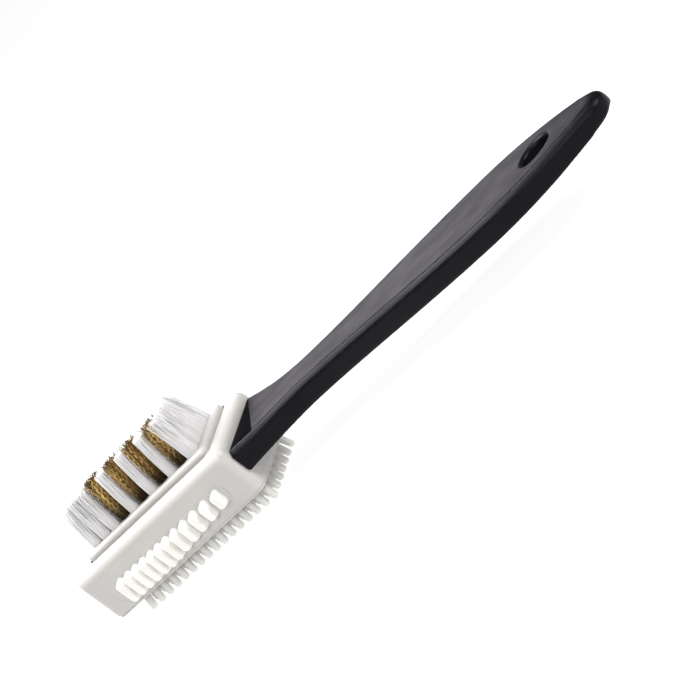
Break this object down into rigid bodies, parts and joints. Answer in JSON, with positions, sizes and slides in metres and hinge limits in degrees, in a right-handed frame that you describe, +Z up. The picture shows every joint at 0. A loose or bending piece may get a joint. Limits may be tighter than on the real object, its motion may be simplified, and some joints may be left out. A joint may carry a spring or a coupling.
{
  "type": "four sided cleaning brush",
  "caption": "Cleaning brush: black handle with a hang hole, white head with nylon and brass tufts on top, rubber pegs below and a rubber tooth strip on each side.",
  "frame": {"origin": "middle of the brush's bounding box, on the level of the peg tips that it stands on", "axes": "+X along the handle towards its tip, +Z up along the tufts, -Y is the side that the picture shows"},
  "size_m": [0.2554, 0.045, 0.047],
  "materials": {
    "handle_black": "satin black moulded polypropylene",
    "head_white": "semi-gloss warm white moulded plastic",
    "rubber_white": "soft matt white rubber, slightly milky",
    "nylon_white": "milky translucent nylon filament",
    "brass_wire": "crimped brass wire, golden brown with darker roots",
    "pin_steel": "drawn steel wire and pin"
  },
  "bodies": {
    "root": {"head_shell": "head_white", "bristle_block": "head_white", "nylon_tufts_1": "nylon_white", "nylon_tufts_2": "nylon_white", "nylon_tufts_3": "nylon_white", "nylon_tufts_4": "nylon_white", "nylon_tufts_5": "nylon_white", "nylon_tufts_6": "nylon_white", "nylon_tufts_7": "nylon_white", "brass_tufts_1": "brass_wire", "brass_tufts_2": "brass_wire", "brass_tufts_3": "brass_wire", "brass_tufts_4": "brass_wire", "tuft_anchors": "pin_steel", "peg_pad": "rubber_white", "near_tooth_strip": "rubber_white", "far_tooth_strip": "rubber_white", "handle_body": "handle_black", "handle_cover": "handle_black", "tenon_pin": "pin_steel"}
  },
  "joints": []
}
